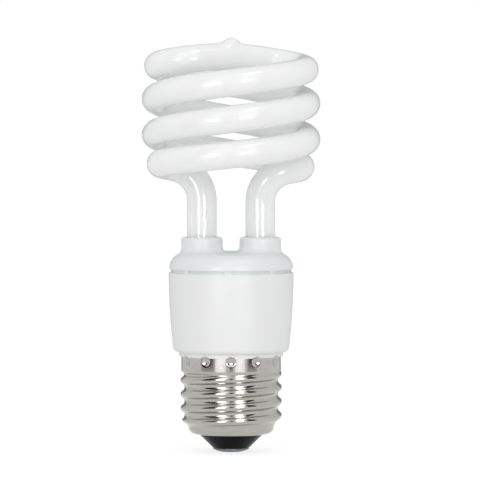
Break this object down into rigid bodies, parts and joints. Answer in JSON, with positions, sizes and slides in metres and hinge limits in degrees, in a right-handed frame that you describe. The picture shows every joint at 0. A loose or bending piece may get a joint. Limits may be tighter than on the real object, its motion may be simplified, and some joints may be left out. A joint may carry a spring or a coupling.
{
  "type": "spiral energy saving bulb",
  "caption": "Compact fluorescent lamp: a white double-spiral glass tube on a tapered white ballast housing with a screw base. It screws into a lamp holder to give light.",
  "frame": {"origin": "tip of the centre contact, on the lamp's axis", "axes": "+Z along the lamp's axis from the screw base up to the spiral; X through both legs of the tube"},
  "size_m": [0.0462, 0.0462, 0.107],
  "materials": {
    "discharge_tube": "glossy clear glass over a white coating",
    "tube_cap": "satin white moulding",
    "ballast_housing": "satin white moulding",
    "screw_shell": "nickel-plated rolled sheet",
    "base_insulator": "glossy black glass",
    "centre_contact": "tinned, lightly worn",
    "contact_solder": "dull solder",
    "tube_cement": "rough white cement",
    "circuit_board": "tan laminate",
    "bulk_capacitor": "dark sleeve",
    "choke_core": "dark ferrite",
    "choke_bobbin": "moulded",
    "choke_winding": "enamelled copper wire",
    "drive_toroid": "dark ferrite",
    "drive_windings": "sleeved wire",
    "switching_transistors": "moulded",
    "resonant_capacitor": "dipped coat",
    "coupling_capacitor": "dipped coat",
    "rectifier_diodes": "moulded",
    "chip_resistors": "fired coat",
    "trigger_diac": "painted glass",
    "fusible_resistor": "matt coat",
    "contact_wire": "sleeved wire",
    "shell_wire": "sleeved wire",
    "wrap_posts": "tinned",
    "filament_leads": "bare wire"
  },
  "bodies": {
    "root": {"discharge_tube": "discharge_tube", "tube_cap": "tube_cap", "ballast_housing": "ballast_housing", "screw_shell": "screw_shell", "base_insulator": "base_insulator", "centre_contact": "centre_contact", "contact_solder": "contact_solder", "tube_cement": "tube_cement", "circuit_board": "circuit_board", "bulk_capacitor": "bulk_capacitor", "choke_core": "choke_core", "choke_bobbin": "choke_bobbin", "choke_winding": "choke_winding", "drive_toroid": "drive_toroid", "drive_windings": "drive_windings", "switching_transistors": "switching_transistors", "resonant_capacitor": "resonant_capacitor", "coupling_capacitor": "coupling_capacitor", "rectifier_diodes": "rectifier_diodes", "chip_resistors": "chip_resistors", "trigger_diac": "trigger_diac", "fusible_resistor": "fusible_resistor", "contact_wire": "contact_wire", "shell_wire": "shell_wire", "wrap_posts": "wrap_posts", "filament_leads": "filament_leads"}
  },
  "joints": []
}
